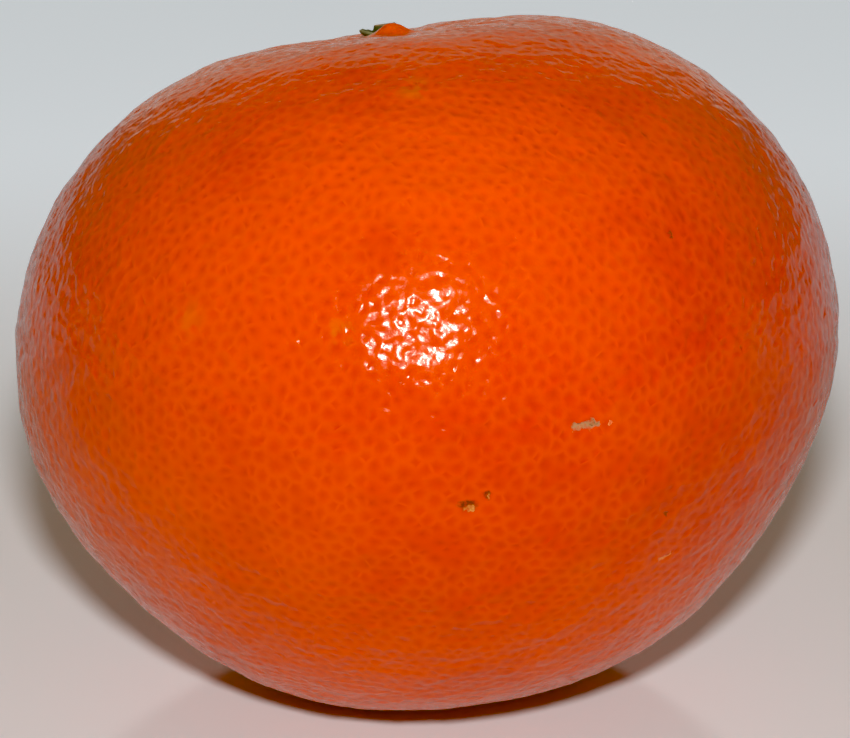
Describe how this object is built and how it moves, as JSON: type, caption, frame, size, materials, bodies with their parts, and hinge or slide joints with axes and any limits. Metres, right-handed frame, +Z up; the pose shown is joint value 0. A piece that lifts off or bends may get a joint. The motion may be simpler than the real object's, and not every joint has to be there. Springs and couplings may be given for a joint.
{
  "type": "mandarin",
  "caption": "Whole ripe mandarin with a pitted, glossy peel, lying tilted back on a small pressed spot, with its star-shaped calyx and cut stem in the stem basin.",
  "frame": {"origin": "middle of the small pressed spot on the underside that the fruit rests on", "axes": "+Z up from the surface that it lies on, -Y towards the side that the picture shows, +X to that side's right; the stem end leans back towards +Y by 13 degrees and left towards -X by 7.6 degrees"},
  "size_m": [0.0619, 0.0617, 0.0522],
  "materials": {
    "peel": "deep orange citrus peel, waxy and glossy over fine pits",
    "dry_calyx": "matt dry green sepals, with a pale brown cut stem"
  },
  "bodies": {
    "root": {"fruit": "peel", "calyx": "dry_calyx"}
  },
  "joints": []
}
